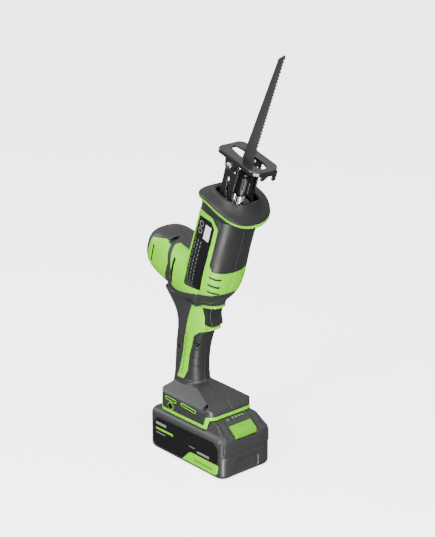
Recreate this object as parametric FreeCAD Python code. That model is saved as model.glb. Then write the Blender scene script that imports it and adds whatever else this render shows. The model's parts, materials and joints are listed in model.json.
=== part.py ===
import FreeCAD, Part
import functools
import math
import os

# Cordless one-handed reciprocating saw, standing on its battery pack.
#
# Row frame, millimetres: +X towards the trigger, +Y to the tool's left, +Z up,
# origin at the centre of the battery's flat bottom.
# Head frame: the same axes turned about +Y, so that its z runs along the plunger towards
# the blade and its -x runs along the motor. Its origin is where those two axes cross.
# Left-hand pieces are mirror images of the right-hand ones, which lie at negative y.

Vector = FreeCAD.Vector
Y_AXIS = Vector(0, 1, 0)

# ---- driving dimensions: clamshell ----
HEAD_TILT_DEG = 18.0            # the plunger leans this far forward of upright
HEAD_ORIGIN = Vector(12.7, 0, 207.2)
SHELL_WALL = 2.6
PANEL_BED = 1.1                 # depth of the bed that a piece of trim lies in
PANEL_PROUD = 0.25              # how far trim stands above the shell
SEAM_GAP = 0.05                 # half the joint line between left and right trim
FAR = 60.0                      # beyond the tool on either side
LEDGE_Z = 187.4                 # underside of the neck, over the trigger
BARREL_TOP = 101.5              # end of the shell under the nose boot, head frame
BOOT_BOTTOM = 97.0

FOOT_BACK, FOOT_FRONT = -51.0, 38.5
FOOT_HALF_WIDTH = 34.0
FOOT_BOTTOM, FOOT_EDGE_Z, FOOT_TOP = 51.5, 72.0, 86.5

SCREW_HEAD_RADIUS, SCREW_SHANK_RADIUS = 2.8, 1.4
SCREW_WELL_RADIUS, SCREW_SEAT_Y, SCREW_END_Y = 2.95, -7.0, 8.0
INSERT_OUTER, INSERT_BORE, INSERT_LENGTH = 3.4, 2.1, 3.5
INSERT_X, INSERT_Z = -29.0, 59.6

# ---- driving dimensions: battery ----
BATTERY_LENGTH, BATTERY_WIDTH = 128.0, 76.0
BATTERY_SHOULDER_Z = 50.5
BATTERY_SEAM_Z = 27.0
BATTERY_CORNER = 11.0
BATTERY_WALL = 2.6
SIDE_BED_Y = -36.8               # bed of the battery's side panels
SIDE_PANEL = [(-55, 4.6, 8), (52, 4.6, 8), (58.6, 18, 8), (58, 36, 6), (50, 43.5, 6), (-48, 41, 6),
              (-58, 30, 8)]
BADGE = [(-4, 4.6, 0), (55.5, 4.6, 6), (57.6, 17.5, 3), (9.5, 17.5, 5)]
CELL_RADIUS, CELL_PITCH, CELL_LENGTH, CELL_ROW_Z = 9.15, 18.6, 65.0, 13.0
CELL_COLUMNS, CELL_ROWS = 6, 2
CONTACT_ROWS = (-16.5, -5.5, 5.5, 16.5)
CONTACT_SLOT_HALF = 1.6

# ---- driving dimensions: drive ----
STROKE = 20.0
CRANK_RADIUS = STROKE / 2
CRANK_PIN_RADIUS = 3.5
LINK_GAP = 0.4                  # the crank pin stops this far short of the yoke
GEAR_MODULE = 1.0
GEAR_TEETH, PINION_TEETH = 44, 10
GEAR_THICKNESS = 6.0
GEAR_FRONT_X = -14.0
PRESSURE_ANGLE_DEG = 25.0
ADDENDUM, DEDENDUM = 0.8, 1.05  # stub teeth, in modules
BACKLASH = 0.2
CENTRE_DISTANCE = GEAR_MODULE * (GEAR_TEETH + PINION_TEETH) / 2
AXLE_RADIUS, AXLE_BEARING_RADIUS = 3.0, 5.8
SHAFT_RADIUS, MOTOR_BEARING_RADIUS = 2.5, 8.0
STATOR_RADIUS = 21.5
RUNNING_FIT = 0.05

PLUNGER_RADIUS = 5.8
BUSH_RADIUS = 9.0
NOSE_TUBE_RADIUS = 13.2
YOKE_HALF_DEPTH, YOKE_HALF_WIDTH, YOKE_HALF_HEIGHT = 6.4, 20.0, 10.0
CASE_JOINT_X = -24.5            # the gear case's rear cover ends here
CASE_CLEARANCE = 0.3

# ---- driving dimensions: blade, clamp and shoe ----
BLADE_THICKNESS = 1.25
TOOTH_PITCH, TOOTH_DEPTH = 3.9, 1.5
CLAMP_RADIUS, CLAMP_BOTTOM, CLAMP_TOP = 6.8, 122.0, 148.0
COLLAR_RADIUS = 9.0
SHOE_PIVOT = Vector(-7, 0, 156)
SHOE_LEAN_DEG = -1.0            # the shoe stands this far off square to the plunger
SHOE_TOP, SHOE_UNDERSIDE, SHOE_RIM = 10.0, 7.4, 5.4
SHOE_BACK, SHOE_FRONT, SHOE_HALF_WIDTH = -25.5, 40.0, 19.5
ARM_INSIDE, ARM_OUTSIDE = 15.0, 17.0
EAR_INSIDE, EAR_OUTSIDE = 17.4, 19.4
RIVET_RADIUS = 2.5

HEAD = FreeCAD.Placement(HEAD_ORIGIN, FreeCAD.Rotation(Y_AXIS, HEAD_TILT_DEG))


# ---- geometry helpers ----
def in_head(shape):
    """A copy of a shape drawn in the head frame, placed in the row frame."""
    placed = shape.copy()
    placed.Placement = HEAD.multiply(placed.Placement)
    return placed


def box(x0, x1, y0, y1, z0, z1):
    return Part.makeBox(x1 - x0, y1 - y0, z1 - z0, Vector(x0, y0, z0))


def fuse(shapes):
    return shapes[0].fuse(shapes[1:]).removeSplitter()


def group(shapes):
    return Part.makeCompound(shapes)


def mirrored(shape):
    return shape.mirror(Vector(0, 0, 0), Y_AXIS)


def cylinder(radius, start, end):
    axis = end - start
    return Part.makeCylinder(radius, axis.Length, start, axis)


def x_rod(radius, x0, x1, z=0.0, y=0.0):
    return cylinder(radius, Vector(x0, y, z), Vector(x1, y, z))


def y_rod(radius, y0, y1, x, z):
    return cylinder(radius, Vector(x, y0, z), Vector(x, y1, z))


def z_rod(radius, z0, z1, x=0.0, y=0.0):
    return cylinder(radius, Vector(x, y, z0), Vector(x, y, z1))


def x_ring(outer, inner, x0, x1, z=0.0):
    return x_rod(outer, x0, x1, z).cut(x_rod(inner, x0 - 1, x1 + 1, z))


def z_ring(outer, inner, z0, z1):
    return z_rod(outer, z0, z1).cut(z_rod(inner, z0 - 1, z1 + 1))


def outline(corners, lift):
    """Closed wire through (a, b, radius) corners, each rounded; lift turns (a, b) into a point."""
    flat = [Vector(a, b, 0) for a, b, _ in corners]
    bends = []
    for i, (_, _, radius) in enumerate(corners):
        here = flat[i]
        if radius <= 0:
            bends.append((here, None, here))
            continue
        to_last = (flat[i - 1] - here).normalize()
        to_next = (flat[(i + 1) % len(flat)] - here).normalize()
        half = to_last.getAngle(to_next) / 2
        reach = radius / math.tan(half)
        centre = here + (to_last + to_next).normalize() * (radius / math.sin(half))
        middle = centre + (here - centre).normalize() * radius
        bends.append((here + to_last * reach, middle, here + to_next * reach))
    edges = []
    for i, (start, middle, end) in enumerate(bends):
        if middle is not None:
            points = [lift(point.x, point.y) for point in (start, middle, end)]
            edges.append(Part.Arc(*points).toShape())
        following = bends[(i + 1) % len(bends)][0]
        if (following - end).Length > 1e-6:
            edges.append(Part.makeLine(lift(end.x, end.y), lift(following.x, following.y)))
    return Part.Wire(edges)


def side_prism(corners, y0, y1):
    """A side-view outline of (x, z, radius) corners, extruded from y0 to y1."""
    wire = outline(corners, lambda a, b: Vector(a, y0, b))
    return Part.Face(wire).extrude(Vector(0, y1 - y0, 0))


def plan_prism(corners, z0, z1):
    """A plan outline of (x, y, radius) corners, extruded from z0 to z1."""
    wire = outline(corners, lambda a, b: Vector(a, b, z0))
    return Part.Face(wire).extrude(Vector(0, 0, z1 - z0))


def front_prism(corners, x0, x1):
    """An end-view outline of (y, z, radius) corners, extruded from x0 to x1."""
    wire = outline(corners, lambda a, b: Vector(x0, a, b))
    return Part.Face(wire).extrude(Vector(x1 - x0, 0, 0))


def rectangle(a0, a1, b0, b1, radius):
    return [(a0, b0, radius), (a1, b0, radius), (a1, b1, radius), (a0, b1, radius)]


def power(value, exponent):
    return math.copysign(abs(value) ** exponent, value)


def oval(back, front, half_width, squareness, lift, points=36):
    """Smooth closed wire through a superellipse, joined up at the left-hand side.

    squareness is (at the back, at the front).
    """
    middle, reach = (back + front) / 2, (front - back) / 2
    loop = []
    for i in range(points):
        turn = 2 * math.pi * (i / points + 0.25)
        square = squareness[1] if math.cos(turn) > 0 else squareness[0]
        along = middle + reach * power(math.cos(turn), 2 / square)
        across = half_width * power(math.sin(turn), 2 / square)
        loop.append(lift(along, across))
    curve = Part.BSplineCurve()
    curve.interpolate(Points=loop, PeriodicFlag=True)
    return Part.Wire([curve.toShape()])


def loft(wires):
    return Part.makeLoft(wires, True, False)


def level_loft(stations, squareness, inset):
    """Loft through level ovals of (z, back, front, half_width), drawn in by the inset."""
    wires = []
    for z, back, front, half_width in stations:
        wires.append(oval(back + inset, front - inset, half_width - inset, squareness,
                          lambda a, b, z=z: Vector(a, b, z)))
    return loft(wires)


# ---- outer forms of the clamshell; inset draws a form in by a wall thickness ----
@functools.lru_cache(maxsize=None)
def barrel_form(inset):
    """Gear barrel, from under the crank to the nose; head frame."""
    stations = [(-14.0, -30.0, 10.5, 23.5), (2.0, -32.5, 18.6, 29.2), (25.0, -33.0, 20.0, 31.5),
                (65.0, -32.0, 18.8, 31.0), (102.0, -31.5, 18.0, 30.5)]
    return level_loft(stations, (3.6, 2.4), inset)


@functools.lru_cache(maxsize=None)
def tail_form(inset):
    """Motor housing, a slightly squared drum that closes in at the back; head frame."""
    stations = [(-inset, 29.5, 29.5), (-40.0, 29.5, 29.5), (-70.0, 28.6, 29.0),
                (-91.0 + inset, 25.0, 25.5), (-101.0 + inset, 18.0, 19.0)]
    wires = []
    for x, half_height, half_width in stations:
        wires.append(oval(inset - half_height, half_height - inset, half_width - inset, (2.6, 2.8),
                          lambda a, b, x=x: Vector(x, b, a)))
    return loft(wires)


@functools.lru_cache(maxsize=None)
def neck_form(inset):
    """Blend from the barrel down to the ledge over the trigger; row frame."""
    stations = [(LEDGE_Z, -57.0, 20.0, 16.5), (194.0, -61.0, 22.5, 21.0), (206.0, -52.0, 25.5, 26.0)]
    return level_loft(stations, (2.6, 2.6), inset)


@functools.lru_cache(maxsize=None)
def handle_form(inset):
    """Handle, leaning forward, from inside the foot to inside the neck; row frame."""
    stations = [(72.0, -55.5, -2.0, 21.0), (80.0, -52.5, -5.5, 18.8), (92.0, -50.5, -8.5, 17.2),
                (110.0, -49.0, -9.0, 16.8), (135.0, -46.5, -4.5, 17.0), (152.0, -44.5, 2.0, 17.5), (172.0, -51.0, 5.0, 17.5),
                (192.0, -66.0, 6.0, 21.0)]
    return level_loft(stations, (2.4, 2.4), inset)


def barrel_forms(inset):
    return [in_head(barrel_form(inset))]


def handle_forms(inset):
    return [handle_form(inset)]


def head_forms(inset):
    """Barrel, tail, neck and handle; row frame."""
    return [in_head(barrel_form(inset)), in_head(tail_form(inset)), neck_form(inset),
            handle_form(inset)]


def foot_form(inset, bottom=FOOT_BOTTOM):
    """Foot over the battery, sloping down all round from the handle; row frame."""
    back, front, half = FOOT_BACK + inset, FOOT_FRONT - inset, FOOT_HALF_WIDTH - inset
    edge, top = FOOT_EDGE_Z - inset / 2, FOOT_TOP - inset
    plan = plan_prism(rectangle(back, front, -half, half, 13.0 - inset), bottom, top + 1)
    across = front_prism([(-half, bottom, 0), (half, bottom, 0), (half, edge, 7), (half - 20, top, 10),
                          (20 - half, top, 10), (-half, edge, 7)], back - 1, front + 1)
    along = side_prism([(back, bottom, 0), (front, bottom, 0), (front, edge - 1, 6),
                        (front - 9, edge + 5.5, 8), (-6, top, 6), (back + 13, top, 8),
                        (back, edge + 2, 5)], -half - 1, half + 1)
    return plan.common(across).common(along)


# ---- side-view outlines of the trim: (x, z, corner radius) ----
BODY_PANEL = [(-41, -21, 2), (-28, -16, 6), (0, -1.8, 10), (14, 2.6, 8), (24, 5.5, 0), (24, 31, 0),
              (11, 33.4, 2.5), (7.4, 40, 4), (7.2, 86, 7), (-2, 96, 8), (-22, 95.5, 5), (-29, 88, 4),
              (-29.5, 42, 5), (-34, 28, 6), (-58, 27, 2), (-53, 17, 8), (-46.8, 2, 12), (-43, -14, 3)]
TAIL_PANEL = [(-91.5, -14, 5), (-55, -22, 3), (-53.8, 5, 10), (-62, 23.2, 3), (-72, 24, 10), (-91, 15.5, 4)]
LABEL = [(-22.6, -2.4, 3.5), (3.4, 5.0, 3.5), (3.2, 85, 4), (-2, 91, 4), (-22.6, 88.5, 3.5)]
FRONT_GRIP = [(11.2, 34.3, 2.5), (24, 31.9, 0), (24, 96, 0), (8.2, 96, 2), (8.2, 40, 4)]
HANDLE_STRIPE = [(-36.5, 90.3, 1), (-32.5, 99, 12), (-27.0, 118, 20), (-22.3, 142, 15), (-14.4, 172, 8),
                 (-10.8, LEDGE_Z, 0), (27, LEDGE_Z, 0), (27, 152.5, 0), (-2.6, 151.8, 3), (-9.6, 146, 6),
                 (-17.2, 121, 15), (-19.8, 101, 10), (-25, 90.3, 2)]
HANDLE_GRIP = [(-23, 90.3, 2), (-18.2, 101, 10), (-15.8, 120.6, 15), (-8.3, 145.2, 6), (-2.2, 150.4, 3),
               (20, 150.4, 0), (20, 96, 0), (-6, 90.3, 2)]
FOOT_TRIM = [(-FAR, FOOT_BOTTOM - 1, 0), (31.5, FOOT_BOTTOM - 1, 0), (34.3, 62.0, 1), (FAR, 62.0, 0),
             (FAR, 65.8, 0), (31.2, 65.8, 1), (28.4, 55.4, 1), (-45.5, 54.6, 3), (-47.2, 66, 2),
             (-FAR, 66, 0)]
FOOT_NOTCH = [(31.5, FOOT_BOTTOM - 3, 0), (31.5, FOOT_BOTTOM, 0), (34.3, 62.0, 0), (FAR, 62.0, 0),
              (FAR, FOOT_BOTTOM - 3, 0)]

# Cooling slots: outline, head frame.
TAIL_VENT = [(-82.6, -11, 1.4), (-79.6, -11, 1.4), (-81, 11, 1.4), (-84, 11, 1.4)]
BODY_VENT = [(-44.5, -15, 1.8), (-40.6, -15, 1.8), (-44.2, 16.5, 1.8), (-48.2, 16.5, 1.8)]
FRONT_VENTS = [[(9.5, z + 2.6, 1.2), (18.3, z - 0.6, 1.2), (18.3, z + 2.4, 1.2), (9.5, z + 5.6, 1.2)]
               for z in (22.6, 12.8, 3.6)]
VENTS = [TAIL_VENT, BODY_VENT] + FRONT_VENTS

TRIM = {
    "body_panel": (head_forms, BODY_PANEL, True),
    "tail_panel": (head_forms, TAIL_PANEL, True),
    "front_grip": (barrel_forms, FRONT_GRIP, True),
    "handle_stripe": (handle_forms, HANDLE_STRIPE, False),
    "handle_grip": (handle_forms, HANDLE_GRIP, False),
}


def cut_by(shape, tools):
    for tool in tools:
        shape = shape.cut(tool)
    return shape


def trim_prism(corners, tilted, y1):
    """Right-hand prism of a trim outline, out to y1."""
    prism = side_prism(corners, -FAR, y1)
    return in_head(prism) if tilted else prism


def trim_piece(name):
    """Right-hand piece of trim: the skin of its forms inside its outline."""
    forms, corners, tilted = TRIM[name]
    prism = trim_prism(corners, tilted, -SEAM_GAP)
    slices = [prism.common(form) for form in forms(-PANEL_PROUD)]
    return cut_by(fuse([piece for piece in slices if piece.Solids]), forms(PANEL_BED))


def vents():
    """Right-hand cooling slots; row frame."""
    return group([in_head(side_prism(corners, -FAR, -12)) for corners in VENTS])


def label_prism(grow, y0, y1):
    corners = [(x + math.copysign(grow, x + 10), z + math.copysign(grow, z - 40), radius)
               for x, z, radius in LABEL]
    return in_head(side_prism(corners, y0, y1))


def trigger_lips():
    """Ledge above the trigger and guard below it; both halves."""
    plan = oval(-57.4, 20.5, 17.0, (2.6, 2.6), lambda a, b: Vector(a, b, 184.2))
    upper = Part.Face(plan).extrude(Vector(0, 0, LEDGE_Z - 184.2)).common(box(-10.7, 40, -30, 30, 180, 190))
    lower = side_prism([(-8, 152, 0), (3, 152.6, 3), (13.6, 157.2, 1.4), (13.2, 160.4, 1.2), (-8, 160.4, 0)],
                       -8.5, 8.5)
    rounded = plan_prism([(-9, -8.5, 0), (14.5, -8.5, 7), (14.5, 8.5, 7), (-9, 8.5, 0)], 150, 162)
    return [upper.cut(handle_form(PANEL_BED)), lower.common(rounded).cut(handle_form(PANEL_BED))]


def trigger_opening():
    return box(-20, 30, -9.2, 9.2, 161.0, 183.8)


# ---- screws and bosses: (x, z) in the row frame ----
def screw_places():
    tail = HEAD.multVec(Vector(-64.9, 0, 25.2))
    return [(tail.x, tail.z), (-9.2, 135.0), (-34.8, 126.2), (26.8, 74.4)]


def screw_wells():
    wells = []
    for x, z in screw_places():
        wells.append(y_rod(SCREW_WELL_RADIUS, -FAR, SCREW_SEAT_Y, x, z))
    return group(wells)


def screw_pilots():
    return group([y_rod(SCREW_SHANK_RADIUS + RUNNING_FIT, SCREW_SEAT_Y, SCREW_END_Y + 1, x, z)
                  for x, z in screw_places()])


def housing_screws():
    screws = []
    for x, z in screw_places():
        head = y_rod(SCREW_HEAD_RADIUS, SCREW_SEAT_Y - 2, SCREW_SEAT_Y, x, z)
        drive = y_rod(1.3, SCREW_SEAT_Y - 3, SCREW_SEAT_Y - 1, x, z)
        shank = y_rod(SCREW_SHANK_RADIUS, SCREW_SEAT_Y, SCREW_END_Y, x, z)
        screws.append(head.fuse(shank).cut(drive).removeSplitter())
    return group(screws)


def hook_insert(bore):
    """Threaded insert for the belt hook, right-hand side."""
    face = -FOOT_HALF_WIDTH - 0.1
    solid = y_rod(INSERT_OUTER, face, face + INSERT_LENGTH, INSERT_X, INSERT_Z)
    if bore:
        solid = solid.cut(y_rod(INSERT_BORE, -FAR, 0, INSERT_X, INSERT_Z))
    return solid


# ---- clamshell ----
def half_shell():
    """Right half of the clamshell: hollow, with trim beds, bosses, ribs and openings."""
    right = box(-200, 200, -FAR, 0, 0, 400)
    form = fuse(head_forms(0) + [foot_form(0)]).common(right)
    for forms, corners, tilted in TRIM.values():
        form = form.cut(cut_by(trim_prism(corners, tilted, 0), forms(PANEL_BED)))
    form = form.cut(side_prism(FOOT_TRIM, -FAR, 0).cut(foot_form(PANEL_BED, FOOT_BOTTOM - 2)))
    form = form.cut(side_prism(FOOT_NOTCH, -FAR, 0))
    form = form.cut(side_prism(rectangle(-44, -17, 40, 72, 3), -FAR, 0.7 - FOOT_HALF_WIDTH))
    shell = cut_by(form, head_forms(SHELL_WALL) + [foot_form(SHELL_WALL, FOOT_BOTTOM - 1)])

    ribs = [in_head(x_ring(27.2, STATOR_RADIUS, x, x + 4)) for x in (-71, -49)]
    ribs.append(in_head(x_ring(18.5, MOTOR_BEARING_RADIUS, -97.3, -92.8)))
    rail = box(-43, 26, -31.5, -23.4, 53.5, 57.4)
    bosses = [y_rod(SCREW_WELL_RADIUS + 0.7, -33, 0, x, z).common(form) for x, z in screw_places()]
    shell = fuse([shell, rail] + [rib.common(right) for rib in ribs] + bosses)
    openings = [vents(), hook_insert(False), trigger_opening(), lock_off(0.35, FAR),
                in_head(z_rod(FAR, BARREL_TOP, 140))]
    return cut_by(shell, openings)


def largest_solid(shape):
    return max(shape.Solids, key=lambda solid: solid.Volume)


def clamshell_parts():
    shell = half_shell()
    right = shell.cut(screw_wells()).cut(screw_pilots())
    left = mirrored(shell).cut(screw_pilots())
    parts = {"right_housing": largest_solid(right), "left_housing": largest_solid(left)}

    pieces = {name: trim_piece(name) for name in TRIM}
    lips = [lip.common(box(-FAR, FAR, -FAR, -SEAM_GAP, 100, 200)) for lip in trigger_lips()]
    pieces["handle_stripe"] = fuse([pieces["handle_stripe"]] + lips).cut(trigger_opening())
    pieces["body_panel"] = pieces["body_panel"].cut(label_prism(0.15, -FAR, 0))
    for name, piece in pieces.items():
        piece = piece.cut(vents())
        parts["right_" + name] = largest_solid(piece.cut(screw_wells()))
        parts["left_" + name] = mirrored(largest_solid(piece))

    label = in_head(barrel_form(0.35)).common(label_prism(-0.1, -FAR, -1))
    label = largest_solid(cut_by(label, head_forms(PANEL_BED)))
    parts["label_plates"] = group([label, mirrored(label)])
    ring = foot_form(-PANEL_PROUD).common(side_prism(FOOT_TRIM, -FAR, FAR))
    parts["foot_trim"] = largest_solid(ring.cut(foot_form(PANEL_BED, FOOT_BOTTOM - 2)))
    insert = hook_insert(True)
    parts["hook_inserts"] = group([insert, mirrored(insert)])
    parts["housing_screws"] = housing_screws()
    return parts


# ---- gears ----
def gear(teeth, x0, thickness, centre_z, mesh_side, tooth_on_mesh_line):
    """Involute stub gear with its axis along x; mesh_side is +1 or -1, the side of z it meshes on."""
    pressure = math.radians(PRESSURE_ANGLE_DEG)
    pitch = GEAR_MODULE * teeth / 2
    base = pitch * math.cos(pressure)
    tip, root = pitch + ADDENDUM * GEAR_MODULE, pitch - DEDENDUM * GEAR_MODULE
    half_at_base = math.pi / (2 * teeth) - BACKLASH / (2 * pitch) + math.tan(pressure) - pressure
    flank = [(root, half_at_base)] if root < base else []
    start, steps = max(base, root), 4
    for step in range(steps + 1):
        radius = start + (tip - start) * step / steps
        roll = math.acos(min(1.0, base / radius))
        flank.append((radius, half_at_base - math.tan(roll) + roll))
    step_angle = 2 * math.pi / teeth
    offset = 0.0 if tooth_on_mesh_line else step_angle / 2
    corners = []
    for tooth in range(teeth):
        middle = tooth * step_angle + offset
        rising = [(radius, middle - half) for radius, half in flank]
        falling = [(radius, middle + half) for radius, half in reversed(flank)]
        for radius, angle in rising + falling:
            height = centre_z + mesh_side * radius * math.cos(angle)
            corners.append(Vector(x0, radius * math.sin(angle), height))
    wire = Part.makePolygon(corners + [corners[0]])
    return Part.Face(wire).extrude(Vector(thickness, 0, 0))


def motor_parts():
    """Motor along the head's x axis: stator, windings, rotor, fan, bearings and pinion."""
    slots = []
    vanes = []
    for turn in range(9):
        slot = box(-75, -41, -1.5, 1.5, 15.4, 19.0)
        slot.rotate(Vector(0, 0, 0), Vector(1, 0, 0), turn * 40)
        slots.append(slot)
        vane = box(-90.6, -83.6, -0.7, 0.7, 6.0, 18.3)
        vane.rotate(Vector(-87, 0, 12), Vector(0, 0, 1), 25)
        vane.rotate(Vector(0, 0, 0), Vector(1, 0, 0), turn * 40)
        vanes.append(vane)
    fan = fuse([x_rod(7, -91, -82), x_rod(18.5, -84, -82.4)] + vanes).cut(x_rod(SHAFT_RADIUS, -95, -80))
    bearings = [x_ring(MOTOR_BEARING_RADIUS, SHAFT_RADIUS + RUNNING_FIT, x, x + 4.5) for x in (-97.3, -34.3)]
    pinion = gear(PINION_TEETH, -21, 8, 0, 1, False)
    return {
        "stator_core": x_ring(STATOR_RADIUS, 14.5, -74, -42).cut(group(slots)),
        "stator_windings": group([x_ring(20, 15.5, -79, -74), x_ring(20, 15.5, -42, -37)]),
        "rotor_shaft": x_rod(SHAFT_RADIUS, -97, -12.8),
        "rotor_magnets": x_ring(13.9, SHAFT_RADIUS, -73, -43),
        "cooling_fan": fan,
        "motor_bearings": group(bearings),
        "pinion": pinion.cut(x_rod(SHAFT_RADIUS, -22, -12)),
    }


def crank_parts():
    """Crank gear with its pin at mid stroke, to the tool's left."""
    z = CENTRE_DISTANCE
    back_x = GEAR_FRONT_X - GEAR_THICKNESS
    wheel = gear(GEAR_TEETH, back_x, GEAR_THICKNESS, z, -1, True)
    holes = [x_rod(AXLE_BEARING_RADIUS, back_x - 1, GEAR_FRONT_X + 1, z),
             x_rod(CRANK_PIN_RADIUS, back_x - 1, GEAR_FRONT_X + 1, z, CRANK_RADIUS)]
    for angle in (20, 90, 160):
        pocket = x_rod(4.2, back_x - 1, GEAR_FRONT_X + 1, z + 13.5)
        pocket.rotate(Vector(0, 0, z), Vector(1, 0, 0), angle)
        holes.append(pocket)
    return {
        "crank_gear": wheel.cut(group(holes)),
        "crank_pin": x_rod(CRANK_PIN_RADIUS, back_x, -YOKE_HALF_DEPTH - LINK_GAP, z, CRANK_RADIUS),
        "crank_bearing": x_ring(AXLE_BEARING_RADIUS, AXLE_RADIUS + RUNNING_FIT, back_x, GEAR_FRONT_X, z),
        "crank_axle": x_rod(AXLE_RADIUS, -27, GEAR_FRONT_X + 1.5, z),
    }


def gear_case_parts():
    """Gear case close inside the barrel, with a bulkhead, a nose tube and a rear cover."""
    outer = barrel_form(SHELL_WALL + CASE_CLEARANCE).common(box(-40, 40, -40, 40, -10.5, BARREL_TOP))
    inner = barrel_form(SHELL_WALL + CASE_CLEARANCE + 2.5)
    crank_room = inner.common(box(-40, 40, -40, 40, -8, 51))
    front_room = inner.common(box(-40, 40, -40, 40, 60, 96))
    case = outer.cut(crank_room).cut(front_room)
    case = fuse([case, z_rod(NOSE_TUBE_RADIUS, 95, 111), z_rod(12, 50.5, 62.5)])
    case = case.cut(z_rod(BUSH_RADIUS, 50, 120))
    rear = box(-40, CASE_JOINT_X, -40, 40, -20, 110)
    cover = fuse([case.common(rear), x_rod(11, -35.3, -28), x_rod(7, -29.3, -20.6, CENTRE_DISTANCE)])
    cover = cover.cut(x_rod(MOTOR_BEARING_RADIUS, -34.3, -29.8)).cut(x_rod(3.5, -40, -20))
    cover = cover.cut(x_rod(AXLE_RADIUS, -27, 0, CENTRE_DISTANCE))
    bore = PLUNGER_RADIUS + RUNNING_FIT
    return {
        "gear_case": largest_solid(case.cut(rear)),
        "gear_case_cover": largest_solid(cover),
        "plunger_bushes": group([z_ring(BUSH_RADIUS, bore, 50.5, 62.5), z_ring(BUSH_RADIUS, bore, 98, 110)]),
    }


# ---- plunger, clamp and blade ----
def plunger_parts():
    z = CENTRE_DISTANCE
    rod = z_rod(PLUNGER_RADIUS, z + YOKE_HALF_HEIGHT, CLAMP_BOTTOM + 6)
    block = box(-YOKE_HALF_DEPTH, YOKE_HALF_DEPTH, -YOKE_HALF_WIDTH, YOKE_HALF_WIDTH,
                z - YOKE_HALF_HEIGHT, z + YOKE_HALF_HEIGHT)
    reach, half_slot = CRANK_RADIUS, CRANK_PIN_RADIUS + 0.3
    slot = fuse([box(-9, 9, -reach, reach, z - half_slot, z + half_slot),
                 x_rod(half_slot, -9, 9, z, reach), x_rod(half_slot, -9, 9, z, -reach)])
    pin = y_rod(1.6, BLADE_THICKNESS / 2, 6.3, 0, 136)
    clamp = z_rod(CLAMP_RADIUS, CLAMP_BOTTOM, CLAMP_TOP)
    clamp = clamp.cut(z_rod(PLUNGER_RADIUS, CLAMP_BOTTOM - 1, CLAMP_BOTTOM + 6))
    blade_slot = box(-5.4, 5.4, -BLADE_THICKNESS / 2, BLADE_THICKNESS / 2, CLAMP_BOTTOM + 6, CLAMP_TOP + 1)
    return {"plunger_rod": rod, "plunger_yoke": block.cut(slot), "clamp_body": clamp.cut(blade_slot).cut(pin),
            "blade_lock_pin": pin, "saw_blade": saw_blade()}


def saw_blade():
    """Tapered wood blade with its teeth to the front; head frame."""
    tang_half, tang_bottom, tang_top = 5.2, CLAMP_BOTTOM + 6.2, CLAMP_TOP
    heel_back, tip_back = Vector(-10.2, 0, 151), Vector(6.4, 0, 285.3)
    heel_front, tip_front = Vector(6.6, 0, 152), Vector(14.5, 0, 289.0)
    along = (tip_front - heel_front).normalize()
    outward = Vector(along.z, 0, -along.x)
    corners = [Vector(-tang_half, 0, tang_bottom), Vector(tang_half, 0, tang_bottom),
               Vector(tang_half, 0, tang_top), heel_front]
    for tooth in range(int((tip_front - heel_front).Length / TOOTH_PITCH)):
        start = heel_front + along * (tooth * TOOTH_PITCH)
        corners.append(start + along * (TOOTH_PITCH * 0.35) - outward * TOOTH_DEPTH)
        corners.append(start + along * TOOTH_PITCH)
    corners += [tip_front + along * 3.5 - outward * 1.5, tip_back, heel_back, Vector(-tang_half, 0, tang_top)]
    wire = Part.makePolygon(corners + [corners[0]])
    wire.translate(Vector(0, -BLADE_THICKNESS / 2, 0))
    return Part.Face(wire).extrude(Vector(0, BLADE_THICKNESS, 0))


def clamp_collar():
    """Twist collar that frees the blade, with a thumb lug and shallow flutes."""
    collar = z_ring(COLLAR_RADIUS, CLAMP_RADIUS + RUNNING_FIT, 123.5, 145)
    lug = plan_prism([(7.8, -3.6, 0), (12.4, -2.8, 1.2), (12.4, 2.8, 1.2), (7.8, 3.6, 0)], 128, 142)
    flutes = []
    for angle in range(45, 360, 45):
        flute = z_rod(1.2, 130, 146, 9.7)
        flute.rotate(Vector(0, 0, 0), Vector(0, 0, 1), angle)
        flutes.append(flute)
    return fuse([collar, lug]).cut(group(flutes))


# ---- shoe ----
def shoe_bracket():
    """Two arms on a plate that sits round the nose tube; head frame."""
    arm_outline = [(-13.5, 102.2, 2), (5.2, 102.2, 2), (5.2, 158, 3), (0, 161.4, 4), (-12, 161.4, 4),
                   (-14.8, 157, 4)]
    arms = []
    for y in (-ARM_OUTSIDE, ARM_INSIDE):
        arm = side_prism(arm_outline, y, y + ARM_OUTSIDE - ARM_INSIDE)
        slot = [(-4.0, 116, 1.4), (-1.0, 116, 1.4), (-5.0, 142, 1.4), (-8.0, 142, 1.4)]
        groove = side_prism(slot, y - 1, y + 3)
        arm = arm.cut(groove).cut(y_rod(1.3, y - 1, y + 3, 0.4, 150.5))
        arms.append(arm.cut(y_rod(RIVET_RADIUS, y - 1, y + 3, SHOE_PIVOT.x, SHOE_PIVOT.z)))
    plate = plan_prism(rectangle(-18, 13, -ARM_OUTSIDE, ARM_OUTSIDE, 2), 102.2, 104.7)
    return fuse(arms + [plate.cut(z_rod(NOSE_TUBE_RADIUS, 100, 110))])


def shoe_rivets():
    stem = y_rod(RIVET_RADIUS, ARM_INSIDE - 1, EAR_OUTSIDE + 1.2, SHOE_PIVOT.x, SHOE_PIVOT.z)
    inner_head = y_rod(3.8, ARM_INSIDE - 1.1, ARM_INSIDE, SHOE_PIVOT.x, SHOE_PIVOT.z)
    outer_head = y_rod(3.8, EAR_OUTSIDE + 0.25, EAR_OUTSIDE + 1.4, SHOE_PIVOT.x, SHOE_PIVOT.z)
    rivet = fuse([stem, inner_head, outer_head])
    return group([rivet, mirrored(rivet)])


def is_level(edge, z):
    return all(abs(vertex.Point.z - z) < 1e-4 for vertex in edge.Vertexes)


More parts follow.
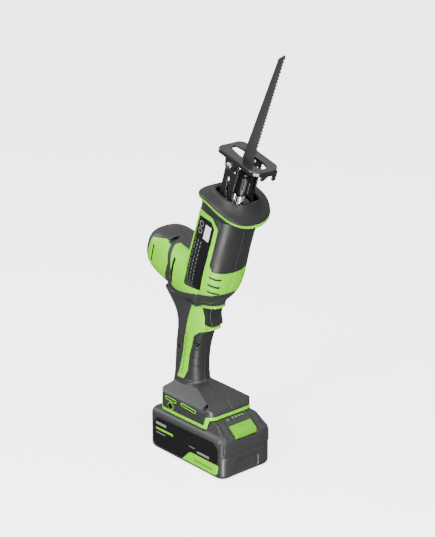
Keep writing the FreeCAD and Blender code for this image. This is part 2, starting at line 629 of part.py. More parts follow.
def shoe_outline(inset):
    back, front, half = SHOE_BACK + inset, SHOE_FRONT - inset, SHOE_HALF_WIDTH - inset
    return [(back, -half, 9), (front - 9, -half, 9), (front - 1.5, 8 - half, 7), (front, 0, 20),
            (front - 1.5, half - 8, 7), (front - 9, half, 9), (back, half, 9)]


def shoe_plate():
    """Slotted plate with a turned-down rim, two pivot ears and a hooked front lip; about its pivot."""
    plate = plan_prism(shoe_outline(0), SHOE_RIM, SHOE_TOP)
    plate = plate.makeFillet(1.6, [edge for edge in plate.Edges if is_level(edge, SHOE_TOP)])
    plate = plate.cut(plan_prism(shoe_outline(2), SHOE_RIM - 1, SHOE_UNDERSIDE))
    slot = [(-18, -4.2, 3), (-2, -6.8, 8), (24, -6.8, 8), (31.5, -4, 3), (31.5, 4, 3), (24, 6.8, 8),
            (-2, 6.8, 8), (-18, 4.2, 3)]
    plate = plate.cut(plan_prism(slot, SHOE_RIM - 2, SHOE_TOP + 1))
    pieces = [plate]
    for y in (-EAR_OUTSIDE, EAR_INSIDE):
        ear = side_prism([(-9, 8, 0), (-7, -1, 3), (-4.5, -6.3, 4.2), (4.5, -6.3, 4.2), (7, -1, 3),
                          (13, 8, 0)],
                         y, y + EAR_OUTSIDE - EAR_INSIDE)
        pieces.append(ear.cut(y_rod(RIVET_RADIUS + RUNNING_FIT, y - 1, y + 3, 0, 0)))
    lip = front_prism([(-9, 8, 0), (-8, -1.0, 1.5), (-4, -1.0, 1.5), (1, 3.2, 5), (8.4, 3.2, 2),
                       (8.4, -4.0, 1.6),
                       (13, -4.0, 1.6), (14, 8, 0)], 36.0, 38.4)
    return fuse(pieces + [lip])


def in_shoe(shape):
    """A shape drawn about the shoe's pivot, at its lean, placed in the head frame."""
    placed = shape.copy()
    placed.Placement = FreeCAD.Placement(SHOE_PIVOT, FreeCAD.Rotation(Y_AXIS, SHOE_LEAN_DEG))
    return placed


# ---- nose ----
@functools.lru_cache(maxsize=None)
def boot_form(inset):
    """Flared nose boot; its rim arches up at the sides and stays high at the back. Head frame."""
    stations = [(90.0, 0.0, 0.0, -32.2, 18.8, 31.3), (98.0, 3.0, 1.2, -33.2, 20.8, 31.8),
                (103.4, 5.0, 4.0, -37.5, 27.5, 34.0), (105.6, 5.0, 4.0, -40.8, 32.6, 36.2),
                (108.8, 5.0, 4.0, -41.3, 33.4, 36.8), (110.8, 4.6, 3.7, -40.2, 31.8, 35.4),
                (113.4, 3.0, 2.4, -34.8, 26.0, 29.6), (116.0, 1.2, 1.0, -30.6, 21.8, 24.8),
                (119.6, 0.0, 0.0, -28.4, 19.6, 22.4)]
    wires = []
    for z, arch, tilt, back, front, half_width in stations:
        middle, reach = (back + front) / 2, (front - back) / 2

        def lift(a, b, z=z, arch=arch, tilt=tilt, middle=middle, reach=reach):
            along = (a - middle) / reach
            return Vector(a, b, z + arch * (1 - 2 * along ** 2) - tilt * along)
        wires.append(oval(back + inset, front - inset, half_width - inset, (2.6, 2.3), lift))
    return Part.makeLoft(wires, True, True)


def nose_parts():
    """Boot round the plunger's exit and the thin ring let into its rim; head frame."""
    lower = [(-60, 103.4, 0), (-27, 108.9, 25), (-9, 111.2, 30), (12, 107.4, 40), (60, 88.6, 0)]
    upper = [(x, z + 1.9, radius) for x, z, radius in reversed(lower)]
    band = side_prism(lower + upper, -FAR, FAR)
    below = box(-FAR, FAR, -FAR, FAR, 70, BOOT_BOTTOM)
    boot = boot_form(0).cut(band.cut(boot_form(1.0))).cut(below)
    hollow = boot_form(3.0).common(box(-50, 50, -50, 50, 80, 116.6))
    barrel = barrel_form(-0.3).common(box(-50, 50, -50, 50, 70, BARREL_TOP + 0.3))
    opening = plan_prism(rectangle(-22, 15.5, -18.6, 18.6, 6), 90, 130)
    boot = cut_by(boot, [hollow, barrel, opening])
    ring = boot_form(-0.6).common(band).cut(boot_form(1.0))
    return {"nose_boot": largest_solid(boot), "nose_ring": largest_solid(ring)}


# ---- controls and electrics in the handle ----
def trigger():
    side = side_prism([(-8, 183.4, 1), (14.4, 183.4, 2.5), (10.8, 173.0, 14), (15.6, 161.4, 2.5),
                       (-8, 161.4, 1)], -8.8, 8.8)
    plan = plan_prism([(-8, -8.8, 1), (16.2, -8.8, 5), (16.2, 8.8, 5), (-8, 8.8, 1)], 160, 185)
    return fuse([side.common(plan), x_rod(1.8, -14.4, -7.5, 172)])


def lock_off(grow=0.0, reach=24.2):
    """Cross bolt above the trigger; grow and reach make its opening."""
    return side_prism(rectangle(-12 - grow, 3 + grow, 189.8 - grow, 195.4 + grow, 2.7 + grow), -reach, reach)


def coil_spring(radius, wire_radius, turns, start, end):
    """Round-wire spring whose ends touch the planes through start and end."""
    axis = end - start
    height = axis.Length - 2 * wire_radius
    helix = Part.makeHelix(height / turns, height, radius)
    profile = Part.Wire([Part.makeCircle(wire_radius, Vector(radius, 0, 0), Y_AXIS)])
    coil = Part.Wire(helix.Edges).makePipeShell([profile], True, True)
    lift = Vector(axis).normalize() * wire_radius
    coil.Placement = FreeCAD.Placement(start + lift, FreeCAD.Rotation(Vector(0, 0, 1), axis))
    return coil


def handle_parts():
    lugs = [box(-30, -26, y, y + 1.0, 153.5, 158) for y in (-6, -0.5, 5)]
    module = fuse([box(-38, -21, -9, 9, 158, 182)] + lugs)
    board = box(-43, 22, -22, 22, 69, 70.6)
    chips = [box(-38 + 12 * i, -30 + 12 * i, -16, -6, 70.6, 72.6) for i in range(5)]
    caps = [z_rod(5, 70.6, 80, x, 9) for x in (-34, -22)]
    blades = [box(-39, -18.5, y - 0.45, y + 0.45, 54, 59.6) for y in CONTACT_ROWS]
    block = box(-47.5, -38.3, -20, 20, 53, 66).cut(group(blades))
    return {
        "trigger": trigger(),
        "lock_off_button": lock_off(),
        "switch_module": module,
        "trigger_spring": coil_spring(3.4, 0.5, 5, Vector(-21, 0, 172), Vector(-8, 0, 172)),
        "controller_board": fuse([board] + chips + caps),
        "terminal_block": block,
        "terminal_blades": group(blades),
    }


# ---- battery pack ----
@functools.lru_cache(maxsize=None)
def battery_outer(inset=0.0):
    """Pack body: a block rounded in plan, with soft shoulders and a rounded bottom edge."""
    x, y, z = BATTERY_LENGTH / 2 - inset, BATTERY_WIDTH / 2 - inset, BATTERY_SHOULDER_Z - inset
    block = plan_prism(rectangle(-x, x, -y, y, BATTERY_CORNER - inset), inset, z)
    block = block.makeFillet(8.5 - inset, [edge for edge in block.Edges if is_level(edge, z)])
    return block.makeFillet(5.5 - inset, [edge for edge in block.Edges if is_level(edge, inset)])


def battery_nose(inset=0.0):
    """Raised front of the pack, in front of the foot, sloping down to the front face."""
    along = side_prism([(32.3 + inset, 40, 0), (32.3 + inset, 50.8, 0), (35.2 + inset, 61.4 - inset, 1),
                        (46.5, 60.8 - inset, 6), (63.7 - inset, 44.4, 7), (63.7 - inset, 30, 0),
                        (40, 30, 0)], -FAR, FAR)
    across = front_prism([(inset - 33.5, 28, 0), (33.5 - inset, 28, 0), (33.5 - inset, 48, 3),
                          (27.5 - inset, 66, 4), (inset - 27.5, 66, 4), (inset - 33.5, 48, 3)], 20, 70)
    return along.common(across)


def battery_rails():
    """Slide-in block on top of the pack, undercut along both sides, with four contact slots."""
    stem = box(-37, 34, -22.5, 22.5, BATTERY_SHOULDER_Z - BATTERY_WALL, 58)
    head = plan_prism(rectangle(-37, 34, -27, 27, 1.5), 58, 61.4).common(box(-37, 31.5, -30, 30, 50, 70))
    slots = [box(-38, -16, y - CONTACT_SLOT_HALF, y + CONTACT_SLOT_HALF, 53.0, 60.4) for y in CONTACT_ROWS]
    return fuse([stem.common(box(-37, 33, -30, 30, 40, 70)), head]).cut(group(slots))


def battery_side_prism(corners, grow):
    """Right-hand prism of a side outline, down to the bed of the side panels."""
    return side_prism(corners, -FAR, SIDE_BED_Y - grow)


def battery_panels():
    """Side label panels, slightly sunk, each with the badge patch cut out of it."""
    panel = battery_outer(0.3).common(battery_side_prism(SIDE_PANEL, 0)).cut(battery_side_prism(BADGE, 0))
    return group([panel, mirrored(panel)])


def battery_badges():
    badge = battery_outer(0.1).common(battery_side_prism(BADGE, 0))
    return group([badge, mirrored(badge)])


def release_button():
    """Two-facet release button on the sloping nose."""
    corners = [(50.5, 48.0, 0), (50.5, 58.2, 1.2), (61.9, 50.6, 1.4), (62.6, 44.6, 0.7), (59.5, 44.6, 0),
               (56.5, 48.0, 0)]
    return side_prism(corners, -15.5, 15.5)


def button_opening():
    corners = [(50.1, 40, 0), (50.1, 66, 0), (70, 66, 0), (70, 44.1, 0), (62.95, 44.1, 0), (62.95, 40, 0)]
    return side_prism(corners, -15.9, 15.9)


def gauge_button(grow=0.0, deeper=0.0):
    return z_rod(2.6 + grow, 57.5 - deeper, 61.7 + deeper, 43.4, -10.5)


def gauge_strip():
    return side_prism([(40.8, 60.2, 0), (40.8, 61.5, 0), (46.0, 61.1, 0), (46.0, 60.0, 0)], -6, 15)


def cell_places():
    for column in range(CELL_COLUMNS):
        for row in range(CELL_ROWS):
            yield (column - (CELL_COLUMNS - 1) / 2) * CELL_PITCH, CELL_ROW_Z + row * CELL_PITCH


def battery_parts():
    recesses = [battery_side_prism(SIDE_PANEL, 0), battery_side_prism(BADGE, 0)]
    solid = fuse([battery_outer(), battery_nose(), battery_rails()])
    body_room = battery_outer(BATTERY_WALL)
    nose_room = battery_nose(BATTERY_WALL)
    shell = solid.cut(body_room.fuse(nose_room))
    under_button = button_opening()
    grip = front_prism([(-17.5, 4, 2), (17.5, 4, 2), (17.5, 20.5, 4), (-17.5, 20.5, 4)], 62.6, 70)
    shell = cut_by(shell, [under_button, grip, gauge_button(0.3, 2), gauge_strip()] + recesses)
    shell = cut_by(shell, [mirrored(recess) for recess in recesses])
    lower = largest_solid(shell.common(box(-70, 70, -40, 40, -1, BATTERY_SEAM_Z)))
    upper = largest_solid(shell.common(box(-70, 70, -40, 40, BATTERY_SEAM_Z, 80)))
    half = CELL_LENGTH / 2
    cells = [y_rod(CELL_RADIUS, -half, half, x, z) for x, z in cell_places()]
    holes = group([y_rod(CELL_RADIUS + 0.05, 19, 25, x, z) for x, z in cell_places()])
    holder = box(-59, 59, 20, 24, 2.6, 41.6).cut(holes)
    contacts = []
    for y in CONTACT_ROWS:
        for side in (-1, 1):
            inner, outer = sorted((y + side * 1.05, y + side * CONTACT_SLOT_HALF))
            contacts.append(box(-30, -17, inner, outer, 53.0, 60.0))
    return {
        "battery_lower_case": lower, "battery_upper_case": upper,
        "battery_side_panels": battery_panels(), "battery_badges": battery_badges(),
        "battery_cells": group(cells), "cell_holders": group([holder, mirrored(holder)]),
        "battery_board": box(-48, 55, -28, 28, 42.0, 43.6), "battery_contacts": group(contacts),
        "gauge_strip": gauge_strip(), "gauge_button": gauge_button(),
        "release_button": release_button(),
        "release_spring": coil_spring(2.2, 0.4, 3, Vector(53.4, 0, 43.6), Vector(53.4, 0, 48.0)),
    }


# ---- build ----
def all_parts():
    parts = {}
    parts.update(clamshell_parts())
    parts.update(handle_parts())
    parts.update(battery_parts())
    head = {}
    for make in (motor_parts, crank_parts, gear_case_parts, plunger_parts, nose_parts):
        head.update(make())
    head["clamp_collar"] = clamp_collar()
    head["shoe_bracket"] = shoe_bracket()
    head["shoe_rivets"] = shoe_rivets()
    head["shoe_plate"] = in_shoe(shoe_plate())
    parts.update({name: in_head(shape) for name, shape in head.items()})
    return parts


os.makedirs("parts", exist_ok=True)
for name, shape in all_parts().items():
    shape.exportStep(os.path.join("parts", name + ".step"))
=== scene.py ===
import json
import math

import bpy
from mathutils import Matrix, Vector
from mathutils.bvhtree import BVHTree


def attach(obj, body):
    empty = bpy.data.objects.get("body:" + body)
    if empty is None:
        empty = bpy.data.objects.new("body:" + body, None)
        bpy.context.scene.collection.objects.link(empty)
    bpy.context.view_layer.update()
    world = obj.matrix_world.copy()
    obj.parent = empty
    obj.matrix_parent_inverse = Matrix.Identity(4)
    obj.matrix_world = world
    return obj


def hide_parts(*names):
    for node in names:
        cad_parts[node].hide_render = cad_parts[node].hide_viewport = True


# Looks for the cordless reciprocating saw. Lengths on the tool are written in millimetres
# and turned into metres by MM; a material's grain depth, the weld distance and the studio
# are in metres. Row frame: +X to the trigger, +Y to the tool's left, +Z up.
# Head frame: turned 18 degrees about +Y, z along the plunger towards the blade.
MM = 0.001
HEAD = (Matrix.Translation(Vector((12.7, 0, 207.2)) * MM)
        @ Matrix.Rotation(math.radians(18), 4, "Y"))
ROW = Matrix.Identity(4)
RIGHT, LEFT = -1, 1
SIDES = {RIGHT: "right", LEFT: "left"}
WELD_DISTANCE = 0.00001
SHARP_ANGLE = math.radians(40)
# Where the rays that lay a band on a surface start: beside the tool, and above its battery.
RAY_SIDE, RAY_TOP = 60, 90

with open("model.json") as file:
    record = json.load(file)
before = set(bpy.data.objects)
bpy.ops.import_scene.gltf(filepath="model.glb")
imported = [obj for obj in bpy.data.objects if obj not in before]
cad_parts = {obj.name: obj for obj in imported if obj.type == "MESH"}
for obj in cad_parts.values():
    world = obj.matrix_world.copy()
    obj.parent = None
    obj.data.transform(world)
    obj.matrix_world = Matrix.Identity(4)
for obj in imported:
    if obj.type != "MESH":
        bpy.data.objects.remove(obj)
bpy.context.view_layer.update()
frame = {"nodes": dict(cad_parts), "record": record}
nodes = frame["nodes"]
body_of = {node: body for body, members in frame["record"]["behaviour"]["bodies"].items()
           for node in members}
slot_of = {part["node"]: part["material_slot"] for part in frame["record"]["subparts"]}
scene = bpy.context.scene


# ---- materials ----------------------------------------------------------------------------
MOTTLE_SCALE = 60
ROUGHNESS_SPREAD = 0.12
GRAIN_STRENGTH = 0.35
COAT_ROUGHNESS = 0.12


def node_material(name):
    material = bpy.data.materials.new(name)
    material.use_nodes = True
    tree = material.node_tree
    shader = next(node for node in tree.nodes if node.type == "BSDF_PRINCIPLED")
    return material, tree, shader


def noise(tree, scale, detail, stretch):
    """Noise in object space, stretched along the axes."""
    place = tree.nodes.new("ShaderNodeTexCoord")
    mapping = tree.nodes.new("ShaderNodeMapping")
    mapping.inputs["Scale"].default_value = stretch
    texture = tree.nodes.new("ShaderNodeTexNoise")
    texture.inputs["Scale"].default_value = scale
    texture.inputs["Detail"].default_value = detail
    tree.links.new(place.outputs["Object"], mapping.inputs["Vector"])
    tree.links.new(mapping.outputs["Vector"], texture.inputs["Vector"])
    return texture


def ramp(tree, source, low, high, first, last):
    """Colour ramp from first to last over the source's values low to high."""
    node = tree.nodes.new("ShaderNodeValToRGB")
    node.color_ramp.elements[0].position = low
    node.color_ramp.elements[1].position = high
    node.color_ramp.elements[0].color = (*first, 1)
    node.color_ramp.elements[1].color = (*last, 1)
    tree.links.new(source, node.inputs["Fac"])
    return node


def shades(color, spread):
    return [tuple(channel * factor for channel in color) for factor in (1 - spread, 1 + spread)]


def surface(name, color, roughness, metallic=0.0, spread=0.06, grain=2600, depth=0.00002,
            stretch=(1, 1, 1), specular=0.5, coat=0.0):
    """Material with slight mottling, uneven roughness and a fine grain in its normal."""
    material, tree, shader = node_material(name)
    mottle = noise(tree, MOTTLE_SCALE, 3, stretch)
    tint = ramp(tree, mottle.outputs["Fac"], 0.3, 0.7, *shades(color, spread))
    tree.links.new(tint.outputs["Color"], shader.inputs["Base Color"])
    uneven = ramp(tree, mottle.outputs["Fac"], 0.25, 0.75,
                  *shades((roughness,) * 3, ROUGHNESS_SPREAD))
    tree.links.new(uneven.outputs["Color"], shader.inputs["Roughness"])
    fine = noise(tree, grain, 2, stretch)
    bump = tree.nodes.new("ShaderNodeBump")
    bump.inputs["Strength"].default_value = GRAIN_STRENGTH
    bump.inputs["Distance"].default_value = depth
    tree.links.new(fine.outputs["Fac"], bump.inputs["Height"])
    tree.links.new(bump.outputs["Normal"], shader.inputs["Normal"])
    shader.inputs["Metallic"].default_value = metallic
    shader.inputs["Specular IOR Level"].default_value = specular
    shader.inputs["Coat Weight"].default_value = coat
    shader.inputs["Coat Roughness"].default_value = COAT_ROUGHNESS
    return material


MATERIALS = {
    "green_plastic": surface("lime_plastic", (0.19, 0.68, 0.0005), 0.36, spread=0.03,
                             depth=0.00001, specular=0.3),
    "dark_plastic": surface("dark_plastic", (0.030, 0.0305, 0.031), 0.38, depth=0.00004,
                            specular=0.35),
    "soft_grip": surface("soft_grip", (0.020, 0.020, 0.0205), 0.44, depth=0.00005, specular=0.35),
    "label_plastic": surface("label_film", (0.006, 0.006, 0.007), 0.30, spread=0.1,
                             depth=0.000005, specular=0.3),
    "trigger_plastic": surface("trigger_plastic", (0.018, 0.018, 0.0185), 0.32, specular=0.4),
    "battery_plastic": surface("battery_plastic", (0.032, 0.0325, 0.033), 0.38, depth=0.00005,
                               specular=0.35),
    "button_plastic": surface("button_plastic", (0.10, 0.42, 0.002), 0.30, depth=0.00001,
                              specular=0.4),
    "gauge_plastic": surface("gauge_plastic", (0.045, 0.048, 0.048), 0.25, depth=0.00001),
    "black_paint": surface("black_enamel", (0.008, 0.008, 0.0085), 0.22, spread=0.1, grain=900,
                           depth=0.00001, coat=0.6),
    "blade_steel": surface("coated_blade", (0.035, 0.035, 0.037), 0.42, 0.35, grain=1500,
                           stretch=(1, 1, 0.15)),
    "polished_rod": surface("polished_rod", (0.86, 0.87, 0.88), 0.09, 1.0, spread=0.02,
                            depth=0.000004),
    "dark_steel": surface("blackened_steel", (0.030, 0.030, 0.032), 0.30, 0.7, spread=0.12),
    "steel": surface("machined_steel", (0.50, 0.51, 0.53), 0.30, 1.0, stretch=(1, 6, 1)),
    "cast_aluminium": surface("cast_aluminium", (0.30, 0.31, 0.32), 0.50, 0.9, spread=0.12,
                              grain=1400),
    "bronze": surface("sintered_bronze", (0.42, 0.28, 0.13), 0.45, 0.9, spread=0.15),
    "brass_insert": surface("blackened_brass", (0.040, 0.036, 0.028), 0.35, 0.8, spread=0.12),
    "copper": surface("enamelled_copper", (0.55, 0.24, 0.12), 0.35, 0.9, spread=0.15),
    "magnet": surface("plated_magnet", (0.25, 0.25, 0.27), 0.35, 0.9),
    "circuit_board": surface("circuit_board", (0.02, 0.12, 0.05), 0.35, spread=0.2, grain=900),
    "cell_wrap": surface("cell_wrap", (0.06, 0.20, 0.42), 0.30, spread=0.05),
}
PRINT_GREY = surface("printed_grey", (0.22, 0.22, 0.22), 0.45)
PRINT_WHITE = surface("printed_white", (0.75, 0.75, 0.75), 0.45)
# Near-black painted shade, laid as thin sheets on the foot's slot floors, across the grip's finger
# grooves and along the battery nose's mould lines.
PAINTED_GROOVE_SHADE = surface("groove_shadow", (0.003, 0.003, 0.003), 0.7, specular=0.1)
EMBOSS = surface("embossed_green", (0.06, 0.30, 0.001), 0.45, depth=0.00001, specular=0.2)


# ---- mesh helpers -------------------------------------------------------------------------
def add_piece(name, mesh, material, body):
    """A new object from a mesh, with its material and body."""
    piece = bpy.data.objects.new(name, mesh)
    scene.collection.objects.link(piece)
    mesh.materials.clear()
    mesh.materials.append(material)
    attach(piece, body)
    return piece


def with_modifiers(mesh, recipes):
    """The mesh after a list of (modifier type, settings)."""
    worker = bpy.data.objects.new("worker", mesh)
    scene.collection.objects.link(worker)
    for kind, settings in recipes:
        modifier = worker.modifiers.new(kind, kind)
        for key, value in settings.items():
            setattr(modifier, key, value)
    graph = bpy.context.evaluated_depsgraph_get()
    result = bpy.data.meshes.new_from_object(worker.evaluated_get(graph))
    bpy.data.objects.remove(worker)
    return result


def skin(node, voxel=None, passes=0, keep=1.0):
    """Skin in place of a CAD node, shaded smooth.

    With a voxel (mm), its edges are rounded by a remesh and smoothing passes, and the share
    keep of its faces stays. Without one, it keeps its shape and its sharp edges.
    """
    mesh = nodes[node].data.copy()
    recipes = [("WELD", {"merge_threshold": WELD_DISTANCE})]
    if voxel:
        recipes.append(("REMESH", {"mode": "VOXEL", "voxel_size": voxel * MM}))
        recipes.append(("SMOOTH", {"factor": 0.5, "iterations": passes}))
        if keep < 1.0:
            recipes.append(("DECIMATE", {"ratio": keep}))
    mesh = with_modifiers(mesh, recipes)
    for polygon in mesh.polygons:
        polygon.use_smooth = True
    if not voxel:
        mesh.set_sharp_from_angle(angle=SHARP_ANGLE)
    slot = slot_of[node]
    piece = add_piece(node + "_skin", mesh, MATERIALS[slot], body_of[node])
    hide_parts(node)
    return piece


def tree_of(piece):
    """Search tree over a piece's faces."""
    vertices = [vertex.co.copy() for vertex in piece.data.vertices]
    faces = [list(polygon.vertices) for polygon in piece.data.polygons]
    return BVHTree.FromPolygons(vertices, faces)


def cast(tree, origin, direction, lift):
    """Where a ray first meets the tree, lifted off along the ray; None if it misses."""
    place, _, _, _ = tree.ray_cast(origin, direction)
    return None if place is None else place - direction.normalized() * lift


def sheet_mesh(name, grid, thickness):
    """Mesh over a grid of points (rows of equal length), thickened both ways."""
    columns = len(grid[0])
    vertices = [point for row in grid for point in row]
    faces = []
    for i in range(len(grid) - 1):
        for j in range(columns - 1):
            a = i * columns + j
            faces.append((a, a + 1, a + columns + 1, a + columns))
    mesh = bpy.data.meshes.new(name)
    mesh.from_pydata(vertices, [], faces)
    mesh.validate()
    mesh = with_modifiers(mesh, [("SOLIDIFY", {"thickness": thickness * MM, "offset": 0.0})])
    for polygon in mesh.polygons:
        polygon.use_smooth = True
    return mesh


def ribbon_points(path, width, closed, step=1.2):
    """Rows of flat (a, b) points across a band that follows a path, in millimetres."""
    corners = path + [path[0]] if closed else path
    centres = []
    for (a0, b0), (a1, b1) in zip(corners, corners[1:]):
        count = max(1, round(math.hypot(a1 - a0, b1 - b0) / step))
        centres += [(a0 + (a1 - a0) * k / count, b0 + (b1 - b0) * k / count) for k in range(count)]
    centres.append(corners[-1])
    rows = []
    for i, (a, b) in enumerate(centres):
        before = centres[i - 1] if i else (centres[-2] if closed else centres[0])
        after = centres[(i + 1) if i + 1 < len(centres) else (1 if closed else i)]
        run = Vector((after[0] - before[0], after[1] - before[1])).normalized()
        across = Vector((-run.y, run.x)) * width / 2
        columns = max(2, round(width / step) + 1)
        spread = [2 * k / (columns - 1) - 1 for k in range(columns)]
        rows.append([(a + across.x * share, b + across.y * share) for share in spread])
    return rows


def band(name, target, path, width, side, look, body, slot, placement=ROW, closed=False,
         lift=0.05, thickness=0.12):
    """Thin band that follows a side-view path over a target surface, on the given side."""
    direction = Vector((0, -side, 0))
    grid = []
    for row in ribbon_points(path, width, closed):
        starts = [placement @ (Vector((a, side * RAY_SIDE, b)) * MM) for a, b in row]
        points = [cast(target, start, direction, lift * MM) for start in starts]
        if None not in points:
            grid.append(points)
    if len(grid) >= 2:
        add_piece(name, sheet_mesh(name, grid, thickness), look, body)


def circle(a, b, radius, count=28):
    turns = [2 * math.pi * k / count for k in range(count)]
    return [(a + radius * math.cos(turn), b + radius * math.sin(turn)) for turn in turns]


def stadium(a0, b0, a1, b1, radius):
    """Outline round two end points, with a half circle of count steps at each."""
    count = 8
    heading = math.atan2(b1 - b0, a1 - a0)
    points = []
    for (a, b), start in (((a1, b1), -math.pi / 2), ((a0, b0), math.pi / 2)):
        for k in range(count + 1):
            turn = heading + start + math.pi * k / count
            points.append((a + radius * math.cos(turn), b + radius * math.sin(turn)))
    return points


# ---- moulded skins ------------------------------------------------------------------------
# For each mould: the remesh's voxel in mm, its smoothing passes, and the share of faces kept.
HOUSING_MOULD = (0.75, 6, 0.45)
TRIM_MOULD = (0.42, 3, 0.5)
TRIMS = ("body_panel", "tail_panel", "handle_stripe", "handle_grip", "front_grip")
MOULDS = {
    "nose_boot": (0.4, 8, 0.4),
    "nose_ring": (0.3, 2, 1.0),
    "foot_trim": (0.4, 2, 0.7),
    "battery_upper_case": (0.7, 3, 0.6),
    "battery_lower_case": (0.7, 3, 0.6),
    "battery_side_panels": (0.35, 1, 0.5),
    "battery_badges": (0.3, 2, 0.7),
    "label_plates": (0.35, 1, 0.6),
    "trigger": (0.4, 5, 1.0),
    "release_button": (0.35, 3, 1.0),
    "shoe_plate": (0.35, 4, 1.0),
    "shoe_bracket": (0.4, 2, 1.0),
    "clamp_collar": (0.3, 2, 1.0),
    "lock_off_button": (0.35, 3, 1.0),
}
# Pieces that keep their sharp edges.
SHARP_PIECES = ("saw_blade", "plunger_rod", "clamp_body", "shoe_rivets", "hook_inserts",
                "housing_screws", "gauge_button", "gauge_strip")


def build_skins():
    """Smooth-shaded skins for everything that shows; returns them by node name."""
    skins = {}
    for side in SIDES.values():
        skins[side + "_housing"] = skin(side + "_housing", *HOUSING_MOULD)
        for trim in TRIMS:
            skins[f"{side}_{trim}"] = skin(f"{side}_{trim}", *TRIM_MOULD)
    for name, mould in MOULDS.items():
        skins[name] = skin(name, *mould)
    for name in SHARP_PIECES:
        skins[name] = skin(name)
    return skins


# ---- small details ------------------------------------------------------------------------
# Slots in the foot: the centres of their two ends.
FOOT_SLOTS = {"short_slot": (-36.0, 68.0, -20.5, 67.4), "long_slot": (-8.0, 68.6, 14.5, 67.0)}
SLOT_RADIUS = 1.5
SLOT_WIDTH = 2.2
OUTLINE_WIDTH = 0.9
INSERT_RING = (-29.0, 59.6, 4.3)
# Dashes down the handle stripe: how many, the lowest one's middle, the step from one to the
# next, half a dash's length and lean.
DASHES = 13
DASH_X, DASH_Z = -27.2, 98.5
DASH_STEP_X, DASH_STEP_Z = 0.8, 4.1
DASH_HALF, DASH_LEAN = 1.5, 1.6
DASH_WIDTH = 1.1
GROOVE_HEIGHTS = (107.6, 118.0, 129.0)
# Finger grooves across the grip, drawn as painted shade: x, and the rise over the groove's own
# height.
GROOVE_SHAPE = ((-14.0, 0.6), (-9.0, -0.4), (-5.5, -1.4))
GROOVE_WIDTH = 0.55
# Print on the rating plate, in the head frame.
LABEL_ROWS, LABEL_COLUMNS = 11, 3
LABEL_X, LABEL_Z = -19.0, 6
LABEL_STEP_X, LABEL_STEP_Z = 4.6, 5.2
LABEL_BAR, LABEL_BAR_WIDTH = 3.4, 0.7
LABEL_BLOCK, LABEL_BLOCK_WIDTH = [(-4.6, 66), (-4.6, 84)], 8.5
LABEL_RINGS, LABEL_RING_WIDTH = ((-15.5, 72.5, 2.9), (-15.5, 81.0, 2.9)), 0.9
# Print on the battery's side: start, end, height, width, look.
PACK_BARS = [(-50, -32, 33.5, 3.4, PRINT_GREY), (-50, -20, 26.8, 2.6, MATERIALS["green_plastic"]),
             (-50, -34, 21.8, 1.1, PRINT_GREY), (22, 42, 21.6, 2.8, PRINT_GREY),
             (8, 18, 24.4, 0.9, PRINT_GREY)]
BADGE_BAR, BADGE_BAR_WIDTH = [(18, 10.6), (48, 10.6)], 1.8
PRINT = {"lift": 0.03, "thickness": 0.05}
GAUGE_LAMPS = 4
LAMP_Y, LAMP_STEP = -3.2, 4.6
LAMP_ENDS, LAMP_WIDTH = (42.0, 44.8), 2.6
GAUGE_MARK, GAUGE_MARK_WIDTH = (43.4, -10.5, 1.3), 0.4
# Mould lines on the battery's nose, drawn as painted shade: distance from the middle, and the
# points along x.
NOSE_LINES = {"nose_line": (18.6, (46.6, 58.0, 61.6)), "nose_edge_line": (27.0, (44.0, 58.0, 61.8))}
NOSE_LINE_WIDTH = 0.5


def foot_details(skins, side):
    """Outlined slots with painted shade on their floors, and the ring round the hook insert, on one
    side of the foot.
    """
    name = SIDES[side]
    target = tree_of(skins[name + "_housing"])
    outlines = {"insert_ring": circle(*INSERT_RING)}
    for label, ends in FOOT_SLOTS.items():
        outlines[label] = stadium(*ends, SLOT_RADIUS)
        # Each slot's floor is a near-black sheet: painted shade in the recess.
        band(f"{name}_{label}_floor", target, [ends[:2], ends[2:]], SLOT_WIDTH, side, PAINTED_GROOVE_SHADE,
             "housing", "dark_plastic", lift=0.02)
    for label, path in outlines.items():
        band(f"{name}_{label}", target, path, OUTLINE_WIDTH, side, MATERIALS["green_plastic"],
             "housing", "green_plastic", closed=True, lift=0.08, thickness=0.3)


def stripe_details(skins, side):
    """Slanted raised dashes down the handle stripe, leaning to and fro in turn."""
    name = SIDES[side]
    target = tree_of(skins[name + "_handle_stripe"])
    for k in range(DASHES):
        x = DASH_X + DASH_STEP_X * k
        z = DASH_Z + DASH_STEP_Z * k
        lean = DASH_LEAN if k % 2 else -DASH_LEAN
        path = [(x - DASH_HALF, z - lean), (x + DASH_HALF, z + lean)]
        band(f"{name}_stripe_dash_{k}", target, path, DASH_WIDTH, side, EMBOSS, "housing",
             "green_plastic", lift=0.06, thickness=0.25)


def grip_details(skins, side):
    """Finger grooves across the grip, drawn as strips of painted shade."""
    name = SIDES[side]
    target = tree_of(skins[name + "_handle_grip"])
    for k, z in enumerate(GROOVE_HEIGHTS):
        path = [(x, z + rise) for x, rise in GROOVE_SHAPE]
        band(f"{name}_grip_groove_shade_{k}", target, path, GROOVE_WIDTH, side, PAINTED_GROOVE_SHADE, "housing",
             "soft_grip", lift=0.03)


def label_details(skins, side):
    """Plain printed bars and rings on the rating plate; no lettering."""
    name = SIDES[side]
    target = tree_of(skins["label_plates"])
    for row in range(LABEL_ROWS):
        for column in range(LABEL_COLUMNS):
            x = LABEL_X + LABEL_STEP_X * column
            z = LABEL_Z + LABEL_STEP_Z * row
            path = [(x, z), (x, z + LABEL_BAR)]
            band(f"{name}_label_bar_{row}_{column}", target, path, LABEL_BAR_WIDTH, side,
                 PRINT_GREY, "housing", "label_plastic", HEAD, **PRINT)
    band(f"{name}_label_block", target, LABEL_BLOCK, LABEL_BLOCK_WIDTH, side, PRINT_WHITE,
         "housing", "label_plastic", HEAD, **PRINT)
    for k, ring in enumerate(LABEL_RINGS):
        band(f"{name}_label_ring_{k}", target, circle(*ring), LABEL_RING_WIDTH, side, PRINT_GREY,
             "housing", "label_plastic", HEAD, closed=True, **PRINT)


